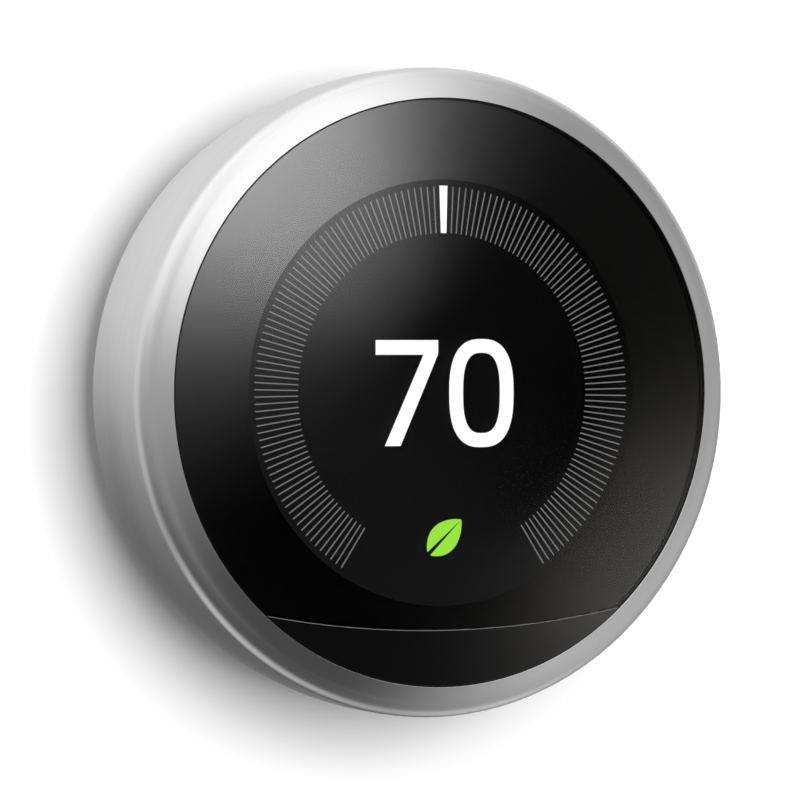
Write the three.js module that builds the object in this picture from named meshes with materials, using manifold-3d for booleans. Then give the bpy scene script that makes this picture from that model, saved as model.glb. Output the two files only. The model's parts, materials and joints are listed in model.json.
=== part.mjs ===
// A round wall thermostat: a steel dial ring turns round a domed glass display, the whole
// display head presses in to click, and the head pulls straight off a wired wall base.
//
// Millimetres. +Z is up, the wall is the plane y = 0 and the room is on the -Y side.
// Every "depth" below is a distance from the wall towards the room, so depth d lies at y = -d.

import * as THREE from 'three';
import { mergeVertices } from 'three/addons/utils/BufferGeometryUtils.js';
import Module from 'manifold-3d';

const wasm = await Module();
wasm.setup();

// ---------------------------------------------------------------- driving dimensions

const overallDepth = 30.8; // wall to the crown of the glass
const dialRadius = 42.0; // widest point of the dial ring

const fitGap = 0.3; // between two pieces that are fastened or rest together
const slideGap = 0.15; // each side of a slippery bearing ring
const headGap = 0.5; // round the base where the head drops over it
const roundSteps = 48; // facets round every large turned piece
const smallSteps = 12; // facets round pins, posts and screws

// dial ring
const ringRearEdge = 8.1; // depth of the ring's rear edge
const ringRearTaper = 1.9; // how much smaller the rear edge is than the widest point
const ringWall = 0.8; // steel left at the rear edge
const ringLipThickness = 1.8; // front lip that hides the display's edge
const ringChamferDrop = 1.15; // the bright bevel round the glass, front to back
const ringChamferWidth = 1.9; // and its width
const ringShoulderDrop = 7.8; // from the lip back to the widest point
const ringCornerRadius = 0.9;

// ring carrier and its bearings
const carrierWall = 0.9;
const carrierRunningGap = 0.4; // between the turning carrier and the fixed frame
const carrierToLip = 1.9; // from the carrier's front edge to the ring's lip
const carrierFlangeThickness = 1.2;
const carrierFlangeReach = 2.3; // flange's inward reach from the carrier's bore
const encoder = { height: 3, thickness: 0.2, groove: 0.4 }; // striped band in the carrier's bore
const bearingThickness = 0.3;
const bearingWidth = 1.5;

// front glass and its sensor window
const glassCrown = 0.9; // rise of the dome above the rim
const glassRim = 1.2; // thickness at the rim
const glassProud = 0.2; // rim stands this far in front of the ring's lip
const glassOverhang = 0.05; // glass past the frame that carries it
const lipGap = 0.25; // dark gap between glass and ring
const seamRadius = 134.4; // the arc that parts the window from the glass
const seamAboveRim = 7.35; // the arc's lowest point above the glass's lowest
const seamGap = 0.15;

// front frame
const frameWall = 1.7;
const frameLedge = 2.5; // shelf under the glass, in from the wall
const frameLedgeThickness = 1.2;
const bulkheadThickness = 1.2;
const pressTravel = 0.8; // how far the head pushes in
const actuatorRadius = 2.2; // boss that works the click switch

// display stack and boards of the head
const trayWall = 0.4;
const trayRadius = 29.6;
const displayThickness = 3.2;
const boardThickness = 1.0;
const mainBoardMargin = 4.0; // from the frame's bore
const boardToTray = 0.3;
const shieldHeight = 1.4;
const standoffRadius = 1.3;
const standoffToEdge = 7.0; // from the main board's edge to its standoffs
const battery = { width: 34, height: 24, thickness: 4.0, centreZ: 9 };
const ribbon = { width: 9, thickness: 0.3, reach: 1.6 };
const motionSensor = { radius: 1.7, height: 2.2 };
const sensorStrip = { width: 16, height: 3.6, thickness: 0.7, insideBore: 3.1 };
const lensStrip = { width: 17, height: 3.4, thickness: 0.6 };
const opticalSensor = { width: 5, height: 3.8 };

// rear half of the head
const recessFloor = 1.2;
const recessWall = 1.4;
const rearRimThickness = 1.1;
const rearRimGap = 0.7; // rim to the ring's bore
const rearBoardToSprings = 0.5;
const rearBoardThickness = 0.8;
const retainerThickness = 1.2;
const retainerSpare = 0.6; // retainer's bore to the recess wall
const retainerScrew = { shank: 0.7, head: 1.7, headHeight: 0.5, post: 1.8 };
const guideScrew = { shank: 1.1, thread: 0.6, head: 2.3, headHeight: 1.1, boss: 1.4, bossHeight: 2.0 };
const returnSpring = { radius: 2.1, wire: 0.3, turns: 4.5 };
const clickSwitch = { side: 5, height: 1.5, plunger: 1.1, plungerLength: 1.5, share: 0.65, centreZ: -10 };
const usbPort = { width: 7.6, height: 2.8, length: 5.4, wall: 0.4, x: 12, z: -10 };
const plugBlade = { width: 16.4, height: 2.0, reach: 5.6 };

// wall base
const shoulderWidth = 5.9; // how far the base spreads past its front boss
const plateThickness = 2.0;
const coverWall = 1.5;
const coverSkin = 1.2;
const shoulderDepth = 7.4; // the wide part of the base
const bossDepth = 11.2; // its front face, inside the head
const wellRadius = 12.2; // open well where the wires come forward
const wellWall = 1.2;
const wireHoleRadius = 10.5; // hole in the plate behind the well
const wirePortRadius = 1.25;
const wirePortDepth = 7.0;
const baseBoardDepth = 3.6;
const screwToRim = 5.3; // from each wall screw to the boss's edge
const screwWell = { radius: 3.5, wall: 0.9, slotHeight: 4.2, slotWidth: 6.4 };
const levelVial = { radius: 1.9, length: 12.5, belowWell: 0.5, proud: 0.3, pocketWall: 0.6 };
const socket = { width: 20, height: 4.6, aboveWell: 0.9, cavity: 4.4 };
const terminal = {
  perSide: 5,
  pitchDegrees: 19,
  tabLength: 4.2,
  tabWidth: 4.2,
  tabProud: 0.2,
  tabTravel: 1.5,
  tabFlange: 0.6,
  contactLength: 6.7,
  contactToWell: 1.8,
  contactToTab: 1.0,
  contactWidth: 3.6,
  contactSheet: 0.4,
};

// ---------------------------------------------------------------- sizes that follow

// radii of the base, from the wire well out
const contactStart = wellRadius + wellWall + terminal.contactToWell;
const contactEnd = contactStart + terminal.contactLength;
const tabStart = contactEnd + terminal.contactToTab;
const bossRadius = tabStart + terminal.tabLength + terminal.tabFlange + fitGap + coverWall;
const baseRadius = bossRadius + shoulderWidth;
const screwZ = bossRadius - screwToRim;
const screwWellInner = screwZ - screwWell.radius - screwWell.wall;
const levelZ = screwWellInner - levelVial.belowWell - levelVial.radius;
const socketZ = -(screwWellInner - socket.aboveWell - socket.height / 2);

// radii of the head, from the outside in
const ringRearRadius = dialRadius - ringRearTaper;
const ringBore = ringRearRadius - ringWall;
const carrierRadius = ringBore - fitGap;
const carrierBore = carrierRadius - carrierWall;
const frameRadius = carrierBore - carrierRunningGap;
const glassRadius = frameRadius + glassOverhang;
const lipRadius = glassRadius + lipGap;
const frameBore = frameRadius - frameWall;
const ledgeRadius = frameBore - frameLedge;
const flangeBore = carrierBore - carrierFlangeReach;
const recessBore = bossRadius + headGap;
const recessOuter = recessBore + recessWall;
const rearRimRadius = ringBore - rearRimGap;
const retainerBore = recessOuter + retainerSpare;
const postCircle = flangeBore - fitGap - retainerScrew.post - 0.2;
const guideCircle = recessOuter - fitGap - returnSpring.radius - returnSpring.wire - 0.3;
const rearBoardRadius = guideCircle - returnSpring.radius - returnSpring.wire - rearBoardToSprings;
const mainBoardRadius = frameBore - mainBoardMargin;
const displayRadius = trayRadius - trayWall - fitGap;
const seamLow = glassRadius - seamAboveRim;
const sensorZ = -(frameBore - sensorStrip.insideBore);

// depths, from the wall forwards
const recessRear = bossDepth + 2 * fitGap; // the head's recess floor stands off the base
const recessFront = recessRear + recessFloor;
const rearRimFront = ringRearEdge + headGap - 0.1 + rearRimThickness;
const screwHeadRear = rearRimFront + pressTravel + 0.2;
const retainerRear = screwHeadRear + retainerScrew.headHeight + fitGap;
const retainerFront = retainerRear + retainerThickness;
const flangeRear = retainerFront + 2 * slideGap + bearingThickness;
const flangeFront = flangeRear + carrierFlangeThickness;
const frameRear = flangeFront + 2 * slideGap + bearingThickness;
const rimDepth = overallDepth - glassCrown; // front corner of the glass's edge
const glassRear = rimDepth - glassRim;
const lipFront = rimDepth - glassProud;
const frameFront = glassRear - fitGap;
const ledgeRear = frameFront - frameLedgeThickness;
const displayRear = frameFront - displayThickness;
const trayRear = displayRear - fitGap - trayWall;
const mainBoardFront = trayRear - boardToTray;
const mainBoardRear = mainBoardFront - boardThickness;
const bulkheadFront = mainBoardRear - shieldHeight - 2 * fitGap;
const bulkheadRear = bulkheadFront - bulkheadThickness;
const springRoom = bulkheadRear - recessFront;
const rearBoardFront = recessFront + fitGap + rearBoardThickness;
const switchRear = rearBoardFront + fitGap;
const switchFront = switchRear + clickSwitch.height;
const plungerRear = switchFront - 0.4;
const encoderMiddle = (mainBoardRear + mainBoardFront) / 2;
const skinRear = bossDepth - coverSkin; // inside of the base cover's front face
const boardTop = baseBoardDepth + boardThickness;
const levelDepth = bossDepth + levelVial.proud - levelVial.radius;
const plungerFront = plungerRear + clickSwitch.plungerLength;
const plungerTravel = clickSwitch.share * pressTravel;
const carrierFront = lipFront - ringLipThickness - carrierToLip;

// ---------------------------------------------------------------- materials

const material = (color, roughness, metalness = 0) =>
  new THREE.MeshStandardMaterial({ color, roughness, metalness });

const steel = material(0xc9c9c9, 0.32, 1);
const springSteel = material(0xb8b8b4, 0.3, 1);
const blackGlass = material(0x060607, 0.06);
const sensorBlack = material(0x08080a, 0.1);
const blackPlastic = material(0x1b1b1d, 0.5);
const whitePlastic = material(0xe6e6e2, 0.45);
const slipperyPlastic = material(0xf3f1ea, 0.35);
const displayBlack = material(0x101014, 0.25);
const tinPlate = material(0xb4b6b8, 0.35, 1);
const boardGreen = material(0x0d3b24, 0.5);
const goldContact = material(0xcaa24a, 0.3, 1);
const cellWrap = material(0x30343a, 0.4);
const amberFilm = material(0xa86a1c, 0.4);
const levelGlass = material(0xb6d84a, 0.1);
const lensPlastic = material(0x2a2a30, 0.3);
const encoderFilm = material(0x6d6f73, 0.3);

// ---------------------------------------------------------------- solid modelling helpers

// A manifold-3d solid from a closed three.js geometry.
function toSolid(geometry) {
  const bare = geometry.index ? geometry.toNonIndexed() : geometry.clone();
  bare.deleteAttribute('normal');
  bare.deleteAttribute('uv');
  const merged = mergeVertices(bare, 1e-3);
  return new wasm.Manifold(
    new wasm.Mesh({
      numProp: 3,
      vertProperties: merged.attributes.position.array,
      triVerts: new Uint32Array(merged.index.array),
    }),
  );
}

// The three.js geometry of a manifold-3d solid.
function toGeometry(solid) {
  const mesh = solid.getMesh();
  const positions = new Float32Array(mesh.numVert * 3);
  for (let i = 0; i < mesh.numVert; i++) {
    for (let axis = 0; axis < 3; axis++) {
      positions[3 * i + axis] = mesh.vertProperties[mesh.numProp * i + axis];
    }
  }
  return new THREE.BufferGeometry()
    .setAttribute('position', new THREE.BufferAttribute(positions, 3))
    .setIndex(new THREE.BufferAttribute(mesh.triVerts, 1));
}

const cut = (body, ...tools) =>
  toGeometry(tools.reduce((solid, tool) => solid.subtract(toSolid(tool)), toSolid(body)));

const join = (body, ...pieces) =>
  toGeometry(pieces.reduce((solid, piece) => solid.add(toSolid(piece)), toSolid(body)));

const common = (body, tool) => toGeometry(toSolid(body).intersect(toSolid(tool)));

// A piece turned about the dial's axis, from [radius, depth] corners in order round its outline.
function turned(outline, steps = roundSteps) {
  const points = outline.map(([radius, depth]) => new THREE.Vector2(radius, -depth));
  if (THREE.ShapeUtils.area(points) < 0) points.reverse();
  points.push(points[0].clone());
  return new THREE.LatheGeometry(points, steps);
}

// A washer or disc between two depths. An inner radius of 0 makes it a disc.
const washer = (inner, outer, rear, front, steps = roundSteps) =>
  turned([[inner, rear], [outer, rear], [outer, front], [inner, front]], steps);

// A flat outline in the X-Z plane, as thick as the space from rear to front.
function slab(shape, rear, front, curveSegments = smallSteps) {
  return new THREE.ExtrudeGeometry(shape, { depth: front - rear, bevelEnabled: false, curveSegments })
    .rotateX(Math.PI / 2)
    .translate(0, -rear, 0);
}

// A rectangular block by its centre in X and Z, its width and height, and its two depths.
const block = (x, z, width, height, rear, front) =>
  new THREE.BoxGeometry(width, front - rear, height).translate(x, -(rear + front) / 2, z);

// A round pin or hole parallel to the dial's axis.
const pin = (x, z, radius, rear, front, steps = smallSteps) =>
  new THREE.CylinderGeometry(radius, radius, front - rear, steps).translate(x, -(rear + front) / 2, z);

function roundedRectangle(width, height, corner) {
  const [x, y] = [width / 2, height / 2];
  const shape = new THREE.Shape();
  shape.moveTo(x - corner, -y);
  shape.absarc(x - corner, -y + corner, corner, -Math.PI / 2, 0);
  shape.absarc(x - corner, y - corner, corner, 0, Math.PI / 2);
  shape.absarc(-x + corner, y - corner, corner, Math.PI / 2, Math.PI);
  shape.absarc(-x + corner, -y + corner, corner, Math.PI, 1.5 * Math.PI);
  shape.closePath();
  return shape;
}

// Points at equal angles round the axis, as [x, z], the first one at startDegrees.
function around(count, radius, startDegrees) {
  return Array.from({ length: count }, (_, i) => {
    const angle = THREE.MathUtils.degToRad(startDegrees + (360 / count) * i);
    return [radius * Math.cos(angle), radius * Math.sin(angle)];
  });
}

const guidePlaces = around(3, guideCircle, 90); // guide screws and return springs
const postPlaces = around(3, postCircle, 30); // ring retainer's screws

function part(name, geometry, finish) {
  const mesh = new THREE.Mesh(geometry, finish);
  mesh.name = name;
  return mesh;
}

// ---------------------------------------------------------------- dial: what turns

// Outside of the ring from the lip to the rear edge: bevel, tight corner, long barrel.
function ringOutside() {
  const bevelDepth = lipFront - ringChamferDrop;
  const bevelRadius = lipRadius + ringChamferWidth;
  const widest = lipFront - ringShoulderDrop;
  const path = new THREE.Path();
  path.moveTo(lipRadius, lipFront);
  path.lineTo(bevelRadius, bevelDepth);
  path.bezierCurveTo(
    bevelRadius + ringCornerRadius, bevelDepth - ringCornerRadius,
    dialRadius, widest + 0.45 * ringShoulderDrop,
    dialRadius, widest,
  );
  path.bezierCurveTo(
    dialRadius, widest - 0.35 * (widest - ringRearEdge),
    ringRearRadius + 0.45 * ringRearTaper, ringRearEdge + 0.25 * (widest - ringRearEdge),
    ringRearRadius, ringRearEdge,
  );
  return path.getPoints(7).map((p) => [p.x, p.y]);
}

function dialRing() {
  return turned([
    ...ringOutside(),
    [ringBore, ringRearEdge],
    [ringBore, lipFront - ringLipThickness],
    [lipRadius, lipFront - ringLipThickness],
  ]);
}

// Plastic sleeve bonded inside the ring; its flange is what the bearings hold.
function ringCarrier() {
  const grooveHalf = encoder.height / 2 + fitGap;
  return turned([
    [flangeBore, flangeRear],
    [carrierRadius, flangeRear],
    [carrierRadius, carrierFront],
    [carrierBore, carrierFront],
    [carrierBore, encoderMiddle + grooveHalf],
    [carrierBore + encoder.groove, encoderMiddle + grooveHalf],
    [carrierBore + encoder.groove, encoderMiddle - grooveHalf],
    [carrierBore, encoderMiddle - grooveHalf],
    [carrierBore, flangeFront],
    [flangeBore, flangeFront],
  ]);
}

// Band in the carrier's groove whose stripes the optical sensor counts.
function encoderBand() {
  const outer = carrierBore + encoder.groove - fitGap;
  return washer(
    outer - encoder.thickness, outer, encoderMiddle - encoder.height / 2, encoderMiddle + encoder.height / 2);
}

function bearing(rear) {
  const outer = frameRadius - 0.1;
  return washer(outer - bearingWidth, outer, rear, rear + bearingThickness);
}

// ---------------------------------------------------------------- front of the head: what presses in

// The domed disc that the glass and the sensor window are both cut from.
function domedDisc() {
  const domeRadius = (glassRadius ** 2 + glassCrown ** 2) / (2 * glassCrown);
  const rings = 5;
  const dome = Array.from({ length: rings + 1 }, (_, i) => {
    const radius = (glassRadius * i) / rings;
    return [radius, overallDepth - domeRadius + Math.sqrt(domeRadius ** 2 - radius ** 2)];
  });
  return turned([...dome, [glassRadius, glassRear], [0, glassRear]]);
}

// A large round cutter whose edge is the seam, grown or shrunk by a margin.
const seamCutter = (margin) =>
  pin(0, seamRadius - seamLow, seamRadius + margin, glassRear - 1, overallDepth + 1, 240);

const displayGlass = () => common(domedDisc(), seamCutter(-seamGap / 2));
const sensorWindow = () => cut(domedDisc(), seamCutter(seamGap / 2));

// The chassis that everything in the front of the head is fixed to.
function frontFrame() {
  const shell = turned([
    [0, bulkheadRear],
    [frameBore, bulkheadRear],
    [frameBore, frameRear],
    [frameRadius, frameRear],
    [frameRadius, frameFront],
    [ledgeRadius, frameFront],
    [ledgeRadius, ledgeRear],
    [frameBore, ledgeRear],
    [frameBore, bulkheadFront],
    [0, bulkheadFront],
  ]);
  const overlap = 0.5;
  const posts = postPlaces.map(([x, z]) =>
    pin(x, z, retainerScrew.post, retainerFront + fitGap, bulkheadRear + overlap));
  const actuator = pin(0, clickSwitch.centreZ, actuatorRadius, plungerFront + fitGap, bulkheadRear + overlap);
  const standoffs = around(4, mainBoardRadius - standoffToEdge, 45).map(([x, z]) =>
    pin(x, z, standoffRadius, bulkheadFront - overlap, mainBoardRear - fitGap));
  const screwHoles = postPlaces.map(([x, z]) =>
    pin(x, z, retainerScrew.shank + 0.15, retainerFront, retainerFront + 4.5, 8));
  const guideHoles = guidePlaces.map(([x, z]) =>
    pin(x, z, guideScrew.shank + 0.4, bulkheadRear - 1, bulkheadFront + 1));
  const sensorView = block(
    0, sensorZ, lensStrip.width + 2 * fitGap, lensStrip.height + 2 * fitGap,
    ledgeRear - 0.3, frameFront + 1);
  const opticalSlot = block(
    -frameRadius + 1, 0, 2 * frameWall + 2, opticalSensor.width + 2 * fitGap,
    mainBoardRear - 1.7, mainBoardFront + 1.7);
  const frame = join(shell, ...posts, actuator, ...standoffs);
  return cut(frame, ...screwHoles, ...guideHoles, sensorView, opticalSlot);
}

const displayPanel = () => washer(0, displayRadius, displayRear, frameFront);

// Pressed tray that backs the display, notched at the top for the ribbon.
function displayTray() {
  const tray = turned([
    [0, trayRear],
    [trayRadius, trayRear],
    [trayRadius, frameFront],
    [trayRadius - trayWall, frameFront],
    [trayRadius - trayWall, trayRear + trayWall],
    [0, trayRear + trayWall],
  ]);
  const notch = block(0, trayRadius, ribbon.width + 2 * fitGap, 4, displayRear + 0.8, frameFront + 1);
  return cut(tray, notch);
}

// Flat flex from the display's edge, out through the notch and down to the board.
function displayRibbon() {
  const inner = displayRadius + fitGap;
  const outer = trayRadius + ribbon.reach;
  const top = displayRear + 2.0;
  const bottom = mainBoardFront + fitGap;
  const across = block(0, (inner + outer) / 2, ribbon.width, outer - inner, top - ribbon.thickness, top);
  const down = block(0, outer - ribbon.thickness / 2, ribbon.width, ribbon.thickness, bottom, top);
  return join(across, down);
}

function mainBoard() {
  const disc = washer(0, mainBoardRadius, mainBoardRear, mainBoardFront);
  const holes = guidePlaces.map(([x, z]) =>
    pin(x, z, guideScrew.head + 0.5, mainBoardRear - 1, mainBoardFront + 1));
  return cut(disc, ...holes);
}

// A stamped can over a group of chips, on the rear of the main board.
function shield(x, z, width, height) {
  const front = mainBoardRear - fitGap;
  return slab(roundedRectangle(width, height, 1), front - shieldHeight, front, 3).translate(x, 0, z);
}

const sensorBoard = () => block(
  0, sensorZ, sensorStrip.width, sensorStrip.height,
  mainBoardFront + fitGap, mainBoardFront + fitGap + sensorStrip.thickness);

function motionSensorCan() {
  const rear = mainBoardFront + 2 * fitGap + sensorStrip.thickness;
  return pin(0, sensorZ, motionSensor.radius, rear, rear + motionSensor.height, 16);
}

const fresnelLens = () => block(
  0, sensorZ, lensStrip.width, lensStrip.height, frameFront - lensStrip.thickness, frameFront);

// Reads the ring carrier's inner face through a window in the frame.
function opticalSensorBlock() {
  const inner = mainBoardRadius + fitGap + 0.1;
  const outer = carrierBore - carrierRunningGap - 0.4;
  return block(
    -(inner + outer) / 2, 0, outer - inner, opticalSensor.width,
    encoderMiddle - opticalSensor.height / 2, encoderMiddle + opticalSensor.height / 2);
}

function batteryCell() {
  const front = bulkheadRear - fitGap;
  return slab(roundedRectangle(battery.width, battery.height, 2), front - battery.thickness, front, 4)
    .translate(0, 0, battery.centreZ);
}

function ringRetainer() {
  const ring = washer(retainerBore, frameRadius + 0.1, retainerRear, retainerFront);
  const holes = postPlaces.map(([x, z]) =>
    pin(x, z, retainerScrew.shank + fitGap, retainerRear - 1, retainerFront + 1, 8));
  return cut(ring, ...holes);
}

// A pan-head screw, driven forwards, head at the rear.
function panScrew(headRadius, headHeight, shankRadius, length) {
  return turned([
    [0, 0],
    [0.7 * headRadius, 0],
    [headRadius, 0.5 * headHeight],
    [headRadius, headHeight],
    [shankRadius, headHeight],
    [shankRadius, headHeight + length - shankRadius],
    [0, headHeight + length],
  ], smallSteps);
}

// ---------------------------------------------------------------- rear of the head: latches on the base

// Openings that the charging socket and the plug's blade pass through.
const usbOpening = (rear, front) =>
  block(usbPort.x, usbPort.z, usbPort.width + 2 * fitGap, usbPort.height + 2 * fitGap, rear, front);
const plugOpening = (rear, front) =>
  block(0, socketZ, plugBlade.width + 2 * fitGap, plugBlade.height + 2 * fitGap, rear, front);

function headRearCover() {
  const rimRear = rearRimFront - rearRimThickness;
  const shell = turned([
    [0, recessRear],
    [recessBore, recessRear],
    [recessBore, rimRear],
    [rearRimRadius, rimRear],
    [rearRimRadius, rearRimFront],
    [recessOuter, rearRimFront],
    [recessOuter, recessFront],
    [0, recessFront],
  ]);
  const bosses = guidePlaces.map(([x, z]) =>
    pin(x, z, guideScrew.boss, recessFront - 0.5, recessFront + guideScrew.bossHeight));
  const threads = guidePlaces.map(([x, z]) =>
    pin(x, z, guideScrew.thread + 0.2, recessFront, recessFront + guideScrew.bossHeight + 1, 8));
  const plugSlot = plugOpening(recessRear - 1, recessFront + 1);
  const usbSlot = usbOpening(recessRear - 1, recessFront + 1);
  return cut(join(shell, ...bosses), ...threads, plugSlot, usbSlot);
}

function rearBoard() {
  const disc = washer(0, rearBoardRadius, recessFront + fitGap, rearBoardFront);
  const usbHole = usbOpening(recessFront, rearBoardFront + 1);
  return cut(disc, usbHole);
}

// Blade of contacts that plugs into the base.
const headPlug = () => block(
  0, socketZ, plugBlade.width, plugBlade.height, recessFront - plugBlade.reach, recessFront);

// Charging socket, open at the back of the head.
function usbSocket() {
  const rear = recessRear + 0.2;
  const front = rear + usbPort.length;
  const shell = block(usbPort.x, usbPort.z, usbPort.width, usbPort.height, rear, front);
  const mouth = block(
    usbPort.x, usbPort.z, usbPort.width - 2 * usbPort.wall, usbPort.height - 2 * usbPort.wall,
    rear - 1, front - 2 * usbPort.wall);
  const tongue = block(usbPort.x, usbPort.z + 0.35, usbPort.width - 2.4, 0.6, rear + 0.8, front - usbPort.wall);
  return join(cut(shell, mouth), tongue);
}

function clickSwitchBody() {
  const body = block(0, clickSwitch.centreZ, clickSwitch.side, clickSwitch.side, switchRear, switchFront);
  const holeRear = plungerRear - plungerTravel - 0.08;
  const hole = pin(0, clickSwitch.centreZ, clickSwitch.plunger + fitGap, holeRear, switchFront + 1);
  return cut(body, hole);
}

const clickPlunger = () => pin(0, clickSwitch.centreZ, clickSwitch.plunger, plungerRear, plungerFront);

// Shoulder screw that lets the front of the head slide on the rear cover.
function guideScrewBody() {
  const bossFront = recessFront + guideScrew.bossHeight;
  const headRear = bulkheadFront + fitGap;
  return turned([
    [0, recessFront + fitGap],
    [guideScrew.thread, recessFront + fitGap],
    [guideScrew.thread, bossFront + fitGap],
    [guideScrew.shank, bossFront + fitGap],
    [guideScrew.shank, headRear],
    [guideScrew.head, headRear],
    [guideScrew.head, headRear + 0.6 * guideScrew.headHeight],
    [0.8 * guideScrew.head, headRear + guideScrew.headHeight],
    [0, headRear + guideScrew.headHeight],
  ], smallSteps);
}

// Coil spring round a guide screw, from the rear cover to the bulkhead.
class Coil extends THREE.Curve {
  constructor(radius, turns, length) {
    super();
    Object.assign(this, { radius, turns, length });
  }

  getPoint(t, target = new THREE.Vector3()) {
    const angle = 2 * Math.PI * this.turns * t;
    return target.set(this.radius * Math.cos(angle), -this.length * t, this.radius * Math.sin(angle));
  }
}

function returnSpringCoil() {
  const ends = fitGap + returnSpring.wire;
  const coil = new Coil(returnSpring.radius, returnSpring.turns, springRoom - 2 * ends);
  const section = new THREE.Shape();
  section.absarc(0, 0, returnSpring.wire, 0, 2 * Math.PI);
  const stepsPerTurn = 10;
  return new THREE.ExtrudeGeometry(section, {
    extrudePath: coil,
    steps: Math.round(returnSpring.turns * stepsPerTurn),
    curveSegments: 3,
  }).translate(0, -(recessFront + ends), 0);
}

// ---------------------------------------------------------------- wall base

const screwPlaces = [[0, screwZ], [0, -screwZ]];

function basePlate() {
  const disc = washer(wireHoleRadius, baseRadius, 0, plateThickness);
  const overlap = 0.5;
  const posts = around(4, 20, 60).map(([x, z]) =>
    pin(x, z, 1.2, plateThickness - overlap, baseBoardDepth - fitGap));
  const slot = roundedRectangle(screwWell.slotWidth, screwWell.slotHeight, 0.49 * screwWell.slotHeight);
  const slots = screwPlaces.map(([x, z]) => slab(slot, -1, plateThickness + 1, 5).translate(x, 0, z));
  return cut(join(disc, ...posts), ...slots);
}

// Angles of the terminals, in degrees from +X, right side then left side.
const terminalAngles = [0, 180].flatMap((side) =>
  Array.from({ length: terminal.perSide }, (_, i) =>
    side + (i - (terminal.perSide - 1) / 2) * terminal.pitchDegrees));

// Turns a piece made on the +X side to its terminal's angle.
const toTerminal = (geometry, degrees) => geometry.rotateY(-THREE.MathUtils.degToRad(degrees));

function baseCover() {
  const rear = plateThickness + fitGap;
  const wellOuter = wellRadius + wellWall;
  const shell = turned([
    [wellRadius, rear],
    [wellRadius, bossDepth],
    [bossRadius, bossDepth],
    [bossRadius, shoulderDepth],
    [baseRadius, shoulderDepth],
    [baseRadius, rear],
    [baseRadius - coverWall, rear],
    [baseRadius - coverWall, shoulderDepth - coverSkin],
    [bossRadius - coverWall, shoulderDepth - coverSkin],
    [bossRadius - coverWall, skinRear],
    [wellOuter, skinRear],
    [wellOuter, rear],
  ]);
  const wells = screwPlaces.map(([x, z]) =>
    pin(x, z, screwWell.radius + screwWell.wall, rear, bossDepth - 0.1, 20));
  const wellHoles = screwPlaces.map(([x, z]) => pin(x, z, screwWell.radius, rear - 1, bossDepth + 1, 20));
  const tabSlots = terminalAngles.map((degrees) =>
    toTerminal(block(
      tabStart + terminal.tabLength / 2, 0,
      terminal.tabLength + 2 * fitGap, terminal.tabWidth + 2 * fitGap,
      skinRear - 0.5, bossDepth + 1), degrees));
  const wirePorts = terminalAngles.map((degrees) =>
    toTerminal(
      new THREE.CylinderGeometry(wirePortRadius, wirePortRadius, 2 * wellWall + 1, 8)
        .rotateZ(Math.PI / 2)
        .translate(wellRadius + wellWall / 2, -wirePortDepth, 0), degrees));
  const vialRoom = (margin, front) => block(
    0, levelZ, levelVial.length + 2 * margin, 2 * levelVial.radius + 2 * margin,
    levelDepth - levelVial.radius - margin, front);
  const levelPocket = vialRoom(fitGap + levelVial.pocketWall, bossDepth - 0.1);
  const levelHollow = vialRoom(fitGap, bossDepth + 1);
  const socketSlot = block(
    0, socketZ, socket.width + 2 * fitGap, socket.height + 2 * fitGap, skinRear - 1, bossDepth + 1);
  return cut(
    join(shell, ...wells, levelPocket),
    ...wellHoles, ...tabSlots, ...wirePorts, levelHollow, socketSlot);
}

function baseBoard() {
  const disc = washer(
    wellRadius + wellWall + fitGap + 0.1, bossRadius - coverWall - fitGap - 0.1,
    baseBoardDepth, boardTop);
  const wells = screwPlaces.map(([x, z]) =>
    pin(x, z, screwWell.radius + screwWell.wall + fitGap, baseBoardDepth - 1, boardTop + 1, 20));
  return cut(disc, ...wells);
}

function baseSocket() {
  const rear = boardTop + fitGap;
  const front = bossDepth - 0.3;
  const housing = block(0, socketZ, socket.width, socket.height, rear, front);
  const cavity = plugOpening(front - socket.cavity, front + 1);
  return cut(housing, cavity);
}

const levelVialBody = () =>
  new THREE.CylinderGeometry(levelVial.radius, levelVial.radius, levelVial.length, 16)
    .rotateZ(Math.PI / 2)
    .translate(0, -levelDepth, levelZ);

// The outline of a strip bent along a path, half its thickness either side, square at both ends.
function bentStrip(points, thickness) {
  const path = points.map(([x, y]) => new THREE.Vector2(x, y));
  const normals = path.slice(1).map((point, i) => {
    const along = point.clone().sub(path[i]).normalize();
    return new THREE.Vector2(-along.y, along.x);
  });
  const offsetAt = (i) => {
    const before = normals[Math.max(i - 1, 0)];
    const after = normals[Math.min(i, normals.length - 1)];
    const middle = before.clone().add(after).normalize();
    return middle.multiplyScalar(thickness / 2 / middle.dot(before));
  };
  const left = path.map((point, i) => point.clone().add(offsetAt(i)));
  const right = path.map((point, i) => point.clone().sub(offsetAt(i)));
  return new THREE.Shape([...left, ...right.reverse()]);
}

// Spring strip that grips a wire: foot on the board, riser, and a leaf that comes back down.
function terminalContact() {
  const { contactSheet, contactWidth } = terminal;
  const foot = boardTop + fitGap + contactSheet / 2;
  const crest = skinRear - 0.8;
  const riser = contactEnd - contactSheet / 2;
  const span = contactEnd - contactStart;
  const path = [
    [contactStart, foot],
    [riser, foot],
    [riser, crest - 0.4],
    [riser - 0.2 * span, crest],
    [contactStart + 0.2 * span, wirePortDepth - 0.5],
    [contactStart + 0.05 * span, wirePortDepth],
  ];
  return { shape: bentStrip(path, contactSheet), width: contactWidth };
}

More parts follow.
